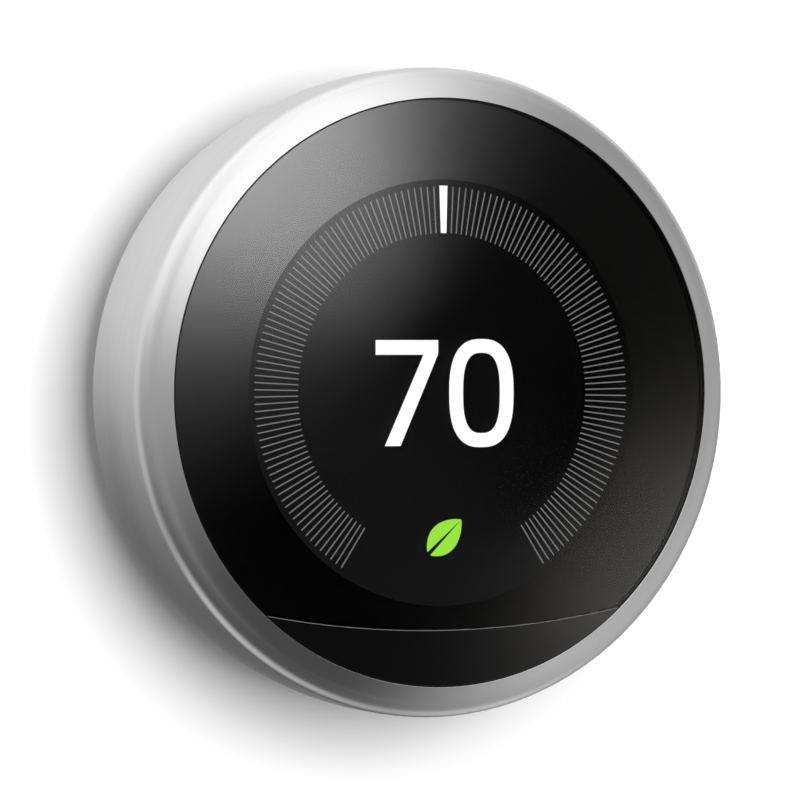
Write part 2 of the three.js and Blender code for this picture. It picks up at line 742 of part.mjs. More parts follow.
// Push tab over a terminal: the head stands just proud, the flange catches under the cover's skin.
function releaseTab() {
  const start = tabStart;
  const { tabLength: length, tabWidth: width, tabFlange: flange } = terminal;
  const front = bossDepth + terminal.tabProud;
  const rear = boardTop + terminal.tabTravel + 0.5;
  const shape = new THREE.Shape();
  shape.moveTo(start, rear);
  shape.lineTo(start + length, rear);
  shape.lineTo(start + length, skinRear - fitGap - flange);
  shape.lineTo(start + length + flange, skinRear - fitGap - flange);
  shape.lineTo(start + length + flange, skinRear - fitGap);
  shape.lineTo(start + length, skinRear - fitGap);
  shape.lineTo(start + length, front - 0.6);
  shape.quadraticCurveTo(start + length, front, start + length - 0.6, front);
  shape.lineTo(start + 0.4 * length, front);
  shape.quadraticCurveTo(start + 0.3 * length, front - 0.6, start + 0.1 * length, front - 0.7);
  shape.lineTo(start, front - 0.8);
  shape.lineTo(start, skinRear - fitGap);
  shape.lineTo(start - flange, skinRear - fitGap);
  shape.lineTo(start - flange, skinRear - fitGap - flange);
  shape.lineTo(start, skinRear - fitGap - flange);
  return { shape, width };
}

// A side profile in radius and depth, made as wide as the piece and turned to its terminal.
function atTerminal({ shape, width }, degrees) {
  const geometry = new THREE.ExtrudeGeometry(shape, { depth: width, bevelEnabled: false, curveSegments: 3 })
    .translate(0, 0, -width / 2)
    .rotateX(Math.PI);
  return toTerminal(geometry, degrees);
}

// ---------------------------------------------------------------- assembly

const thermostat = new THREE.Group();

const wallBase = new THREE.Group();
wallBase.add(
  part('base_plate', basePlate(), whitePlastic),
  part('base_cover', baseCover(), whitePlastic),
  part('base_circuit_board', baseBoard(), boardGreen),
  part('base_socket', baseSocket(), blackPlastic),
  part('bubble_level_vial', levelVialBody(), levelGlass),
);
terminalAngles.forEach((degrees, i) => {
  const side = i < terminal.perSide ? 'right' : 'left';
  const number = (i % terminal.perSide) + 1;
  wallBase.add(
    part(`wire_contact_${side}_${number}`, atTerminal(terminalContact(), degrees), goldContact),
    part(`release_tab_${side}_${number}`, atTerminal(releaseTab(), degrees), blackPlastic),
  );
});

const headRear = new THREE.Group();
headRear.add(
  part('head_rear_cover', headRearCover(), blackPlastic),
  part('rear_circuit_board', rearBoard(), boardGreen),
  part('head_plug', headPlug(), blackPlastic),
  part('usb_socket', usbSocket(), tinPlate),
  part('click_switch', clickSwitchBody(), blackPlastic),
  part('click_switch_plunger', clickPlunger(), whitePlastic),
);
guidePlaces.forEach(([x, z], i) => {
  const screw = part(`guide_screw_${i + 1}`, guideScrewBody(), springSteel);
  const spring = part(`return_spring_${i + 1}`, returnSpringCoil(), springSteel);
  screw.position.set(x, 0, z);
  spring.position.set(x, 0, z);
  headRear.add(screw, spring);
});

const headFront = new THREE.Group();
headFront.add(
  part('display_glass', displayGlass(), blackGlass),
  part('sensor_window', sensorWindow(), sensorBlack),
  part('front_frame', frontFrame(), blackPlastic),
  part('display_panel', displayPanel(), displayBlack),
  part('display_tray', displayTray(), tinPlate),
  part('display_ribbon', displayRibbon(), amberFilm),
  part('main_circuit_board', mainBoard(), boardGreen),
  part('processor_shield', shield(-10, 5, 16, 16), tinPlate),
  part('radio_shield', shield(10, 5, 13, 11), tinPlate),
  part('sensor_board', sensorBoard(), boardGreen),
  part('motion_sensor', motionSensorCan(), tinPlate),
  part('fresnel_lens', fresnelLens(), lensPlastic),
  part('optical_ring_sensor', opticalSensorBlock(), blackPlastic),
  part('battery', batteryCell(), cellWrap),
  part('ring_retainer', ringRetainer(), tinPlate),
  part('bearing_ring_front', bearing(flangeFront + slideGap), slipperyPlastic),
  part('bearing_ring_rear', bearing(retainerFront + slideGap), slipperyPlastic),
);
postPlaces.forEach(([x, z], i) => {
  const length = retainerThickness + 3.0;
  const geometry = panScrew(retainerScrew.head, retainerScrew.headHeight, retainerScrew.shank, length);
  const screw = part(`retainer_screw_${i + 1}`, geometry, springSteel);
  screw.position.set(x, -screwHeadRear, z);
  headFront.add(screw);
});

const dial = new THREE.Group();
dial.add(
  part('dial_ring', dialRing(), steel),
  part('ring_carrier', ringCarrier(), blackPlastic),
  part('encoder_band', encoderBand(), encoderFilm),
);

thermostat.add(wallBase, headRear, headFront, dial);

export default thermostat;
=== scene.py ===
# %% [markdown]
# # A round wall thermostat, piece by piece
# The thermostat is a steel dial ring round a domed black glass, on a head that pulls off a
# wired wall base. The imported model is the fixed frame: every piece made here is placed by the
# box of the solid it stands for, so nothing is fitted by eye and every joint still works.

# %% Load the frame
import json
import math

import bmesh
import bpy
from mathutils import Matrix, Vector

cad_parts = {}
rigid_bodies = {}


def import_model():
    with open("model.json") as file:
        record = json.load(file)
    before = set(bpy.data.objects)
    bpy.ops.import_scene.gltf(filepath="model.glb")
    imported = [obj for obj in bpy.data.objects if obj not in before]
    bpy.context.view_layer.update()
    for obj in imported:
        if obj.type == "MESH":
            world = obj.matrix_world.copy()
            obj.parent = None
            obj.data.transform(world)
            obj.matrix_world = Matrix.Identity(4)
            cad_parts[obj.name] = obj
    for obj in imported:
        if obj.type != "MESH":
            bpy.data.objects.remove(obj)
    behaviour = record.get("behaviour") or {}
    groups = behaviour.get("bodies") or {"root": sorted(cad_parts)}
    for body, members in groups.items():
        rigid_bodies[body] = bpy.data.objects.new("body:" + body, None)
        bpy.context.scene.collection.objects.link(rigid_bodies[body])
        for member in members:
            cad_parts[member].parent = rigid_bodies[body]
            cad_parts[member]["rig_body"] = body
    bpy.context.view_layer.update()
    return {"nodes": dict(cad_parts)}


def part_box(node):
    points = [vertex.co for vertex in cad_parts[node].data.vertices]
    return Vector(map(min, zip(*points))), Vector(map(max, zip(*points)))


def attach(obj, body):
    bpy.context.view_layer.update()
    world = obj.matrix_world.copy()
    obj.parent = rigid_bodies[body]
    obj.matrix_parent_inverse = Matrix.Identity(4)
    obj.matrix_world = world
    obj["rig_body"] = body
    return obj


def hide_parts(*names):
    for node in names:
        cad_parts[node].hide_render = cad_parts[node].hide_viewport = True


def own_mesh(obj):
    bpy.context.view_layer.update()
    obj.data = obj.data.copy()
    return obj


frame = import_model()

MM = 0.001

# %% [markdown]
# ## The camera
# A long lens stands to the left of the thermostat and level with it, so the side of the ring shows
# as well as its face. The camera's place is worked out from two angles and a distance, all measured
# from the middle of the lit display, and it is made first so that every later piece can be judged
# through it.

# %% Camera
CAMERA_AZIMUTH = math.radians(-25.893)
CAMERA_ELEVATION = math.radians(0.51)
CAMERA_DISTANCE = 0.632
LENS_MM, SENSOR_MM = 221.2, 36
AIM_OFFSET = Vector((-6.32, 0, -0.91)) * MM  # the dial hangs a little right of the middle
DOME_RISE = 0.9  # mm from the rim of the glass to its crown
DISPLAY_BEHIND_RIM = 0.55  # mm

glass_low, glass_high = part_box("display_glass")
rim_front = glass_low.y + DOME_RISE * MM
display_centre = Vector((0, rim_front + DISPLAY_BEHIND_RIM * MM, 0))
aim = display_centre + AIM_OFFSET

camera = bpy.data.objects.new("camera", bpy.data.cameras.new("camera"))
bpy.context.scene.collection.objects.link(camera)
bpy.context.scene.camera = camera
camera.data.lens = LENS_MM
camera.data.sensor_width = SENSOR_MM
camera.data.clip_start = 0.01
towards_camera = Vector((
    math.sin(CAMERA_AZIMUTH) * math.cos(CAMERA_ELEVATION),
    -math.cos(CAMERA_AZIMUTH) * math.cos(CAMERA_ELEVATION),
    math.sin(CAMERA_ELEVATION),
))
camera.location = display_centre + CAMERA_DISTANCE * towards_camera
camera.rotation_euler = (aim - camera.location).to_track_quat("-Z", "Y").to_euler()
print("camera stands", round(CAMERA_DISTANCE, 3), "m from the display")

# %% [markdown]
# ## Writing a finish as sums
# A finish is a small network of nodes. Reading such a network is easier when its arithmetic looks
# like arithmetic, so a Signal wraps one output and adds a Math node for each operator used on it.
# Colours never go through Math nodes, which would turn them grey: they are blended by Mix nodes.

# %% Signal and Finish
class Signal:
    """One node's output, with the arithmetic that the finishes use."""

    def __init__(self, finish, socket):
        self.finish, self.socket = finish, socket

    def __add__(self, other):
        return self.finish.maths("ADD", self, other)

    def __radd__(self, other):
        return self.finish.maths("ADD", other, self)

    def __sub__(self, other):
        return self.finish.maths("SUBTRACT", self, other)

    def __rsub__(self, other):
        return self.finish.maths("SUBTRACT", other, self)

    def __mul__(self, other):
        return self.finish.maths("MULTIPLY", self, other)

    def __rmul__(self, other):
        return self.finish.maths("MULTIPLY", other, self)

    def __truediv__(self, other):
        return self.finish.maths("DIVIDE", self, other)

    def __rtruediv__(self, other):
        return self.finish.maths("DIVIDE", other, self)

    def __gt__(self, other):
        return self.finish.maths("GREATER_THAN", self, other)

    def __lt__(self, other):
        return self.finish.maths("LESS_THAN", self, other)


class Finish:
    """A material with one Principled shader, and methods that add nodes to it."""

    def __init__(self, name, color, roughness, metallic=0.0, **constants):
        self.material = bpy.data.materials.new(name)
        self.material.use_nodes = True
        self.tree = self.material.node_tree
        self.shader = self.tree.nodes["Principled BSDF"]
        self.set("Base Color", color)
        self.set("Roughness", roughness)
        self.set("Metallic", metallic)
        for socket, value in constants.items():
            self.set(socket.replace("_", " ").title().replace("Ior", "IOR"), value)

    def set(self, socket, value):
        """Puts a number, a colour or a signal on one of the shader's sockets."""
        self.plug(self.shader.inputs[socket], value)

    def plug(self, socket, value):
        """Puts a value on any socket, or links a signal to it."""
        if isinstance(value, Signal):
            self.tree.links.new(value.socket, socket)
        elif isinstance(value, tuple) and len(value) == 3 and len(socket.default_value) == 4:
            socket.default_value = (*value, 1)
        else:
            socket.default_value = value

    def node(self, kind, settings=None, values=None, output=0):
        """Adds a node: its settings first, then its values or links. Gives one of its outputs."""
        made = self.tree.nodes.new(kind)
        for name, setting in (settings or {}).items():
            setattr(made, name, setting)
        for name, value in (values or {}).items():
            self.plug(made.inputs[name], value)
        return Signal(self, made.outputs[output])

    def maths(self, operation, *values):
        """One step of arithmetic, on signals or numbers."""
        return self.node("ShaderNodeMath", {"operation": operation}, dict(enumerate(values)))

    def length(self, x, y, z):
        """How long a vector is."""
        return self.node("ShaderNodeVectorMath", {"operation": "LENGTH"}, {0: self.vector(x, y, z)},
                         output="Value")

    def place(self):
        """The point being shaded, in metres, in the frame that every piece shares."""
        return self.node("ShaderNodeTexCoord", output="Object")

    def axes(self, vector):
        """A vector's X, Y and Z as three signals."""
        split = self.node("ShaderNodeSeparateXYZ", values={0: vector})
        return [Signal(self, split.socket.node.outputs[i]) for i in range(3)]

    def vector(self, x, y, z):
        return self.node("ShaderNodeCombineXYZ", values={0: x, 1: y, 2: z})

    def noise(self, at, scale, detail=2.0, roughness=0.5):
        return self.node("ShaderNodeTexNoise", values={
            "Vector": at, "Scale": scale, "Detail": detail, "Roughness": roughness})

    def ramp(self, factor, low, high, start=0.0, end=1.0):
        """A number that runs from start to end as factor runs from low to high, softly."""
        return self.node("ShaderNodeMapRange", {"interpolation_type": "SMOOTHSTEP"},
                         {0: factor, 1: low, 2: high, 3: start, 4: end})

    def mix(self, factor, first, second):
        """A colour between two colours."""
        made = self.tree.nodes.new("ShaderNodeMix")
        made.data_type = "RGBA"
        for socket, value in ((0, factor), (6, first), (7, second)):
            self.plug(made.inputs[socket], value)
        return Signal(self, made.outputs[2])

    def bump(self, height, depth, strength=1.0):
        """Dents the surface by a height signal, in metres of relief."""
        self.set("Normal", self.node("ShaderNodeBump", values={
            "Strength": strength, "Distance": depth, "Height": height}))


# %% [markdown]
# ## Making and placing pieces
# Every new piece ends the same way: its mesh is made from a bmesh, shaded smooth with sharp
# corners kept, and tied to the body it moves with, and the solids it stands for are hidden.
# Weighted normals keep a large flat face flat when the corners round it are bevelled, which matters
# on mirror-like glass, where a bent normal bends the whole reflection.

# %% Helpers for pieces
SAME_PLACE = 1e-6  # metres; corners closer than this are one corner


def finish_piece(bm, name, body, finish, stands_for=(), sharp_degrees=50, weigh=True,
                 edge_finish=None):
    """Turns a bmesh into a finished piece of the object. Its rim may have a finish of its own."""
    bm.normal_update()
    for face in bm.faces:
        face.material_index = 1 if edge_finish and abs(face.normal.y) < 0.5 else 0
    mesh = bpy.data.meshes.new(name)
    bm.to_mesh(mesh)
    bm.free()
    mesh.shade_smooth()
    mesh.set_sharp_from_angle(angle=math.radians(sharp_degrees))
    mesh.materials.append(finish.material)
    if edge_finish:
        mesh.materials.append(edge_finish.material)
    piece = bpy.data.objects.new(name, mesh)
    bpy.context.scene.collection.objects.link(piece)
    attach(piece, body)
    if stands_for:
        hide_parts(*stands_for)
    if weigh:
        weigh_normals(piece)
    return piece


def weigh_normals(piece):
    """Lets big faces decide the shading of the corners they share with small ones."""
    piece.modifiers.new("weighted", "WEIGHTED_NORMAL").keep_sharp = True


def outline(corners, closed=True):
    """A wire in the plane X-Y from (radius, depth) corners in mm. Depth is away from the wall."""
    bm = bmesh.new()
    corners = [bm.verts.new((radius * MM, -depth * MM, 0)) for radius, depth in corners]
    ends = corners[1:] + corners[:1] if closed else corners[1:]
    for first, second in zip(corners, ends):
        bm.edges.new((first, second))
    return bm


def turn(bm, steps, axis=(0, 1, 0)):
    """Spins everything in a bmesh once round the dial's axis, or another, and closes the skin."""
    bmesh.ops.spin(bm, geom=bm.verts[:] + bm.edges[:], cent=(0, 0, 0), axis=axis,
                   angle=2 * math.pi, steps=steps, use_merge=True, use_duplicate=False)
    bmesh.ops.remove_doubles(bm, verts=bm.verts[:], dist=SAME_PLACE)
    bmesh.ops.recalc_face_normals(bm, faces=bm.faces[:])
    return bm


def soften(bm, width, sharper_than=30, segments=2):
    """Rounds every corner that is sharper than an angle."""
    limit = math.radians(sharper_than)
    sharp = [edge for edge in bm.edges if edge.calc_face_angle(0) > limit]
    bmesh.ops.bevel(bm, geom=sharp, offset=width * MM, offset_type="OFFSET", affect="EDGES",
                    segments=segments, profile=0.5, material=-1, clamp_overlap=True)
    return bm


# %% [markdown]
# Many moulded pieces already have the right shape in the frame, but their corners are perfectly
# sharp, and nothing moulded or pressed is. A merged copy with a small bevel catches the light
# along its edges, which is most of what makes a plain solid look made.

# %% Round the corners of a solid from the frame
def rounded(node, finish, edge=0.15, corner_degrees=35):
    """Replaces a node by its own shape with rounded corners, this many mm wide."""
    source = frame["nodes"][node]
    bm = bmesh.new()
    bm.from_mesh(source.data)
    bmesh.ops.remove_doubles(bm, verts=bm.verts[:], dist=SAME_PLACE)
    bmesh.ops.dissolve_limit(bm, angle_limit=math.radians(0.5), verts=bm.verts[:],
                             edges=bm.edges[:])
    piece = finish_piece(bm, node + "_rounded", source["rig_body"], finish, [node],
                         weigh=False)
    bevel = piece.modifiers.new("corners", "BEVEL")
    bevel.width, bevel.segments, bevel.limit_method = edge * MM, 2, "ANGLE"
    bevel.angle_limit = math.radians(corner_degrees)
    weigh_normals(piece)
    return piece


# %% [markdown]
# ## Brushed steel
# The ring's barrel is brushed round and round, so its scratches are long along the ring and very
# short across it. The noise is therefore read at (depth, radius, a little of the angle): moving
# round the ring hardly changes it, moving across the ring changes it at once. The bevel round the
# glass is cut with a diamond tool after brushing, so it is smoother and mirrors more sharply.

# %% Steel for the ring
BRUSH_LINE = 0.11 * MM
BEVEL_DEPTH = 1.25 * MM
ring_low, ring_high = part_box("dial_ring")
bevel_rear = ring_low.y + BEVEL_DEPTH

steel = Finish("brushed_ring", (0.72, 0.72, 0.725), 0.30, metallic=1.0)
x, y, z = steel.axes(steel.place())
angle = steel.maths("ARCTAN2", z, x)
radius = steel.length(x, 0, z)
fine_lines = steel.noise(
    steel.vector(y / BRUSH_LINE, radius / BRUSH_LINE, angle * 14.0), 1.0, detail=3.0, roughness=0.7)
long_lines = steel.noise(
    steel.vector(y / (5 * BRUSH_LINE), radius / (5 * BRUSH_LINE), angle * 5.0), 1.0, detail=1.0)
barrel = steel.ramp(y, bevel_rear - 0.15 * MM, bevel_rear + 0.1 * MM)
steel.set("Roughness", 0.16 + 0.09 * barrel + 0.08 * barrel * fine_lines)
steel.set("Base Color", steel.mix(
    steel.ramp(long_lines, 0.25, 0.75) * barrel, (0.74, 0.74, 0.745), (0.70, 0.70, 0.705)))
steel.bump(fine_lines * (0.1 + 0.9 * barrel), 0.004 * MM)
print("brushing lines are about", round(BRUSH_LINE / MM, 2), "mm wide")

# %% [markdown]
# ## The dial ring
# The ring is turned from steel tube on a lathe, and a lathe is just a profile spun round an axis.
# Its profile is a thin lip that stands level with the glass, the bright bevel, a tight shoulder,
# and then a long barrel. Two smooth bends give the shoulder and the barrel. Corners that must stay
# crisp get a tiny bevel, and a subdivision surface makes the rest flow.

# %% Turn the ring
RING_STEPS = 96
LIP_RISE = 0.22  # mm in front of the solid: level with the glass, its edge catches the light
GLASS_GAP = 0.1
BEVEL_WIDTH, BEVEL_DROP = 1.9, 1.15
LIP_THICKNESS, WALL_THICKNESS = 1.8, 2.7
lip_front = -ring_low.y / MM + LIP_RISE
lip_rear = lip_front - LIP_THICKNESS
ring_rear = -ring_high.y / MM
widest = ring_high.x / MM
glass_radius = glass_high.x / MM
lip_radius = glass_radius + GLASS_GAP
bevel_end = (lip_radius + BEVEL_WIDTH, lip_front - BEVEL_DROP)
shoulder_end = (widest, bevel_end[1] - 2.6)
widest_end = (widest, lip_front - 7.0)
bore = widest - WALL_THICKNESS


def bend(start, control, end, steps):
    """Corners along a smooth bend that leaves start towards control and arrives at end."""
    corners = []
    for i in range(1, steps + 1):
        t = i / steps
        corners.append(tuple((1 - t) ** 2 * a + 2 * t * (1 - t) * b + t**2 * c
                             for a, b, c in zip(start, control, end)))
    return corners


shoulder = bend(bevel_end, (widest - 0.03, bevel_end[1] - 0.6), shoulder_end, 8)
barrel_line = bend(widest_end, (widest, lip_front - 13.6), (widest - 1.9, ring_rear), 7)
ring_corners = [
    (lip_radius, lip_rear), (lip_radius, lip_front - 0.1), (lip_radius + 0.08, lip_front),
    bevel_end, *shoulder, widest_end, *barrel_line,
    (bore + 0.1, ring_rear), (bore, ring_rear + 0.1), (bore, lip_rear),
]
bm = turn(outline(ring_corners), RING_STEPS)
soften(bm, 0.05, sharper_than=22)
ring = finish_piece(bm, "dial_ring_turned", "dial", steel, ["dial_ring"],
                    weigh=False)
smoother = ring.modifiers.new("smooth", "SUBSURF")
smoother.levels = smoother.render_levels = 2
print("ring: widest radius", round(widest, 2), "mm, lip", round(lip_front, 2), "mm from the wall")

# %% [markdown]
# ## Black glass
# The front is one clear dome with black ink printed on its back, and the display shows through
# the part that has no ink. Making it as real glass over an ink layer gives what paint cannot:
# the lit marks lie a little below the surface and shift as you walk past. The ink mirrors the room
# a second time, so the border is lighter than the display. It is bent like the dome in front of
# it, which a flat layer can copy with its normals alone.

# %% Glass, window and ink
dome_radius = (glass_radius**2 + DOME_RISE**2) / (2 * DOME_RISE)

glass = Finish("front_glass", (1, 1, 1), 0.03, transmission_weight=1.0, ior=1.5)
smudge = glass.noise(glass.place(), 60.0, detail=3.0)
glass.set("Roughness", glass.ramp(smudge, 0.35, 0.75, 0.025, 0.032))

window_black = Finish("sensor_window_black", (0.002, 0.002, 0.0022), 0.05, ior=1.95)
haze = window_black.noise(window_black.place(), 80.0)
window_black.set("Roughness", window_black.ramp(haze, 0.3, 0.8, 0.03, 0.04))

ink = Finish("border_ink", (0.0004, 0.0004, 0.0004), 0.03, specular_ior_level=1.0)
grain = ink.noise(ink.place(), 120.0)
ink.set("Roughness", ink.ramp(grain, 0.3, 0.7, 0.028, 0.035))
x, y, z = ink.axes(ink.place())
ink.set("Normal", ink.node("ShaderNodeVectorMath", {"operation": "NORMALIZE"}, {
    0: ink.vector(x / (dome_radius * MM), -1.0, z / (dome_radius * MM))}))

rim_ink = Finish("rim_ink", (0.0004, 0.0004, 0.0004), 0.5, specular_ior_level=0.0)
grain = rim_ink.noise(rim_ink.place(), 120.0)
rim_ink.set("Roughness", rim_ink.ramp(grain, 0.3, 0.7, 0.4, 0.6))
gasket = Finish("seam_gasket", (0.12, 0.12, 0.12), 0.45)
dust = gasket.noise(gasket.place(), 700.0)
gasket.set("Base Color", gasket.mix(dust, (0.1, 0.1, 0.1), (0.14, 0.14, 0.14)))
print("dome radius", round(dome_radius), "mm")

# %% [markdown]
# ## The dome and its seam
# The dome is a shallow cap, so a profile of a few corners along its arc is spun. The seam is part
# of a very large circle. Cutting both sides with the same huge drum leaves an even gap, which a
# thin grey gasket fills. A Boolean modifier, applied at once, makes each cut. The rim of the glass
# has a dull black ink of its own, or it would light up wherever it caught the ring. Its corners are
# rounded before the cut, because a bevel along the cut would bend the reflection beside it.

# %% Make the dome, the window and the ink
SEAM_RADIUS = 134.4
SEAM_GAP = 0.07
rim = -rim_front / MM
glass_rear = -glass_high.y / MM
crown = rim + DOME_RISE
seam_centre = glass_low.z / MM + SEAM_RADIUS - 0.2


def domed_disc(radius, rear):
    """The whole front as a bmesh: a spun cap with a short edge and a flat back."""
    rings = 14
    cap = []
    for i in range(rings + 1):
        r = radius * i / rings
        cap.append((r, crown - dome_radius + math.sqrt(dome_radius**2 - r**2)))
    return soften(turn(outline([*cap, (radius, rear), (0, rear)], closed=False), 128), 0.06,
                  sharper_than=60)


def drum(radius):
    """A big cylinder whose edge is the seam."""
    bm = bmesh.new()
    bmesh.ops.create_cone(bm, cap_ends=True, segments=720, radius1=radius * MM, radius2=radius * MM,
                          depth=20 * MM)
    bmesh.ops.rotate(bm, verts=bm.verts[:], matrix=Matrix.Rotation(math.pi / 2, 3, "X"))
    bmesh.ops.translate(bm, verts=bm.verts[:], vec=(0, -rim * MM, seam_centre * MM))
    return bm


def boolean(bm, cutter, operation):
    """One bmesh cut or kept by another, by way of a modifier that is applied at once."""
    pieces = []
    for source in (bm, cutter):
        mesh = bpy.data.meshes.new("scratch")
        source.to_mesh(mesh)
        source.free()
        piece = bpy.data.objects.new("scratch", mesh)
        bpy.context.scene.collection.objects.link(piece)
        pieces.append(piece)
    modifier = pieces[0].modifiers.new("cut", "BOOLEAN")
    modifier.object, modifier.operation, modifier.solver = pieces[1], operation, "EXACT"
    shape = pieces[0].evaluated_get(bpy.context.evaluated_depsgraph_get())
    result = bmesh.new()
    result.from_mesh(shape.to_mesh())
    for piece in pieces:
        bpy.data.objects.remove(piece)
    return result


bm = boolean(domed_disc(glass_radius, glass_rear), drum(SEAM_RADIUS - SEAM_GAP / 2), "INTERSECT")
finish_piece(bm, "domed_glass", "head_front", glass, ["display_glass"],
             sharp_degrees=12, edge_finish=rim_ink)
bm = boolean(domed_disc(glass_radius, glass_rear), drum(SEAM_RADIUS + SEAM_GAP / 2), "DIFFERENCE")
finish_piece(bm, "lower_window", "head_front", window_black,
             ["sensor_window"], sharp_degrees=12)
strip = boolean(domed_disc(glass_radius - 0.05, glass_rear), drum(SEAM_RADIUS + SEAM_GAP / 2),
                "INTERSECT")
strip = boolean(strip, drum(SEAM_RADIUS - SEAM_GAP / 2), "DIFFERENCE")
bmesh.ops.translate(strip, verts=strip.verts[:], vec=(0, 0.03 * MM, 0))
finish_piece(strip, "seam_gasket", "head_front", gasket)

DISPLAY_RADIUS = 27.4
ink_rear, ink_front = glass_rear - 0.12, glass_rear - 0.03
ring_of_ink = turn(outline([
    (DISPLAY_RADIUS, ink_rear), (DISPLAY_RADIUS, ink_front),
    (glass_radius - 0.02, ink_front), (glass_radius - 0.02, ink_rear),
]), 128)
bm = boolean(ring_of_ink, drum(SEAM_RADIUS - 0.05), "INTERSECT")
finish_piece(bm, "ink_border", "head_front", ink, edge_finish=rim_ink)
print("seam centre", round(seam_centre, 1), "mm above the axis")

# %% [markdown]
# ## What the display shows
# The display is a dark panel. Its marks give off their own light, so they are thin raised shapes
# with an emitting finish, in three brightnesses: white, tick grey and leaf green.

# %% Lit finishes and the panel
def lit(name, color, strength):
    """A finish that glows evenly, with the faint cell structure of a display in it."""
    finish = Finish(name, (0, 0, 0), 0.5, specular_ior_level=0.0, emission_strength=strength)
    cells = finish.noise(finish.place(), 9000.0, detail=0.0)
    dimmer = tuple(0.93 * c for c in color)
    finish.set("Emission Color", finish.mix(finish.ramp(cells, 0.3, 0.7), dimmer, color))
    return finish


lit_white = lit("lit_white", (1, 1, 1), 1.15)
lit_grey = lit("lit_grey", (0.2, 0.2, 0.205), 1.0)
lit_green = lit("lit_green", (0.36, 0.87, 0.06), 1.0)

# A lit display never goes quite black: a little of its backlight leaks, more at one side.
panel_low, panel_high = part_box("display_panel")
panel_front = -panel_low.y / MM
panel_black = Finish("display_black", (0.0005, 0.0005, 0.0006), 0.4, specular_ior_level=0.0)
cells = panel_black.noise(panel_black.place(), 4000.0)
panel_black.set("Base Color", panel_black.mix(
    cells, (0.0003, 0.0003, 0.0004), (0.0007, 0.0007, 0.0009)))
x, y, z = panel_black.axes(panel_black.place())
leak = panel_black.ramp(0.8 * x + 0.6 * z, -14 * MM, 18 * MM)
panel_black.set("Emission Color", panel_black.mix(leak, (0.0065, 0.0065, 0.0068), (0.0, 0.0, 0.0)))
panel_black.set("Emission Strength", 1.0)

panel_radius = panel_high.x / MM
bm = soften(turn(outline([
    (0, -panel_high.y / MM), (panel_radius, -panel_high.y / MM),
    (panel_radius, panel_front), (0, panel_front),
], closed=False), 96), 0.15)
finish_piece(bm, "display_cell", "head_front", panel_black, ["display_panel"])

MARK_REAR, MARK_FRONT = panel_front + 0.01, panel_front + 0.05
print("the marks stand", round(MARK_FRONT - MARK_REAR, 2), "mm proud of the panel")

# %% [markdown]
# ## Ticks and pointer
# The tick ring runs over 294 degrees, one mark every two degrees, and is open at the bottom. One
# small bar is made, then turned into each place. The pointer is a longer bar that widens outwards.

# %% Ticks and pointer
TICK_INNER, TICK_OUTER, TICK_WIDTH = 20.5, 26.5, 0.15
TICK_FIRST, TICK_LAST, TICK_STEP = 3, 147, 2


def bar(bm, inner, outer, inner_width, outer_width, degrees):
    """A thin bar that points out from the axis, this many degrees clockwise from the top."""
    made = bmesh.ops.create_cube(bm, size=1.0)["verts"]
    bmesh.ops.scale(bm, verts=made, vec=(MM, (MARK_FRONT - MARK_REAR) * MM, (outer - inner) * MM))
    for vertex in made:
        vertex.co.x *= outer_width if vertex.co.z > 0 else inner_width
    middle_depth, middle = (MARK_REAR + MARK_FRONT) / 2, (inner + outer) / 2
    bmesh.ops.translate(bm, verts=made, vec=(0, -middle_depth * MM, middle * MM))
    bmesh.ops.rotate(bm, verts=made, matrix=Matrix.Rotation(math.radians(degrees), 3, "Y"))


bm = bmesh.new()
for degrees in range(TICK_FIRST, TICK_LAST + 1, TICK_STEP):
    bar(bm, TICK_INNER, TICK_OUTER, TICK_WIDTH, TICK_WIDTH, degrees)
    bar(bm, TICK_INNER, TICK_OUTER, TICK_WIDTH, TICK_WIDTH, -degrees)
print("ticks:", len(bm.verts) // 8)
finish_piece(bm, "tick_ring", "head_front", lit_grey)

POINTER_INNER_WIDTH, POINTER_OUTER_WIDTH = 0.79, 1.13
bm = bmesh.new()
bar(bm, TICK_INNER, TICK_OUTER + 0.1, POINTER_INNER_WIDTH, POINTER_OUTER_WIDTH, 0)
finish_piece(bm, "pointer", "head_front", lit_white)

# %% [markdown]
# ## Numbers and leaf
# A seven is one outline of seven corners. A zero is a squarish ring: a circle whose points are
# pushed out towards the corners, with a smaller one bridged to it. The leaf is a circle pinched
# at both ends and split lengthwise, and its halves are turned a little apart about the tip, which
# leaves a dark midrib. Each shape is filled flat and then extruded.

# %% Numbers and leaf
def raise_faces(bm):
    """Gives flat faces on the panel their thickness."""
    bmesh.ops.translate(bm, verts=bm.verts[:], vec=(0, -MARK_REAR * MM, 0))
    made = bmesh.ops.extrude_face_region(bm, geom=bm.faces[:])
    top = [item for item in made["geom"] if isinstance(item, bmesh.types.BMVert)]
    bmesh.ops.translate(bm, verts=top, vec=(0, -(MARK_FRONT - MARK_REAR) * MM, 0))
    bmesh.ops.recalc_face_normals(bm, faces=bm.faces[:])
    return bm


def flat_shape(corners):
    """A filled flat outline from (x, z) corners in mm."""
    bm = bmesh.new()
    bm.faces.new([bm.verts.new((x * MM, 0, z * MM)) for x, z in corners])
    return bm


def squarish(bm, middle_x, middle_z, width, height, squareness, points=56):
    """A closed wire between an ellipse (squareness 2) and a rectangle."""
    made = bmesh.ops.create_circle(bm, segments=points, radius=1.0)["verts"]
    for vertex in made:
        c, s = vertex.co.x, vertex.co.y
        vertex.co.x = (middle_x + width / 2 * math.copysign(abs(c) ** (2 / squareness), c)) * MM
        vertex.co.z = (middle_z + height / 2 * math.copysign(abs(s) ** (2 / squareness), s)) * MM
        vertex.co.y = 0
    return made


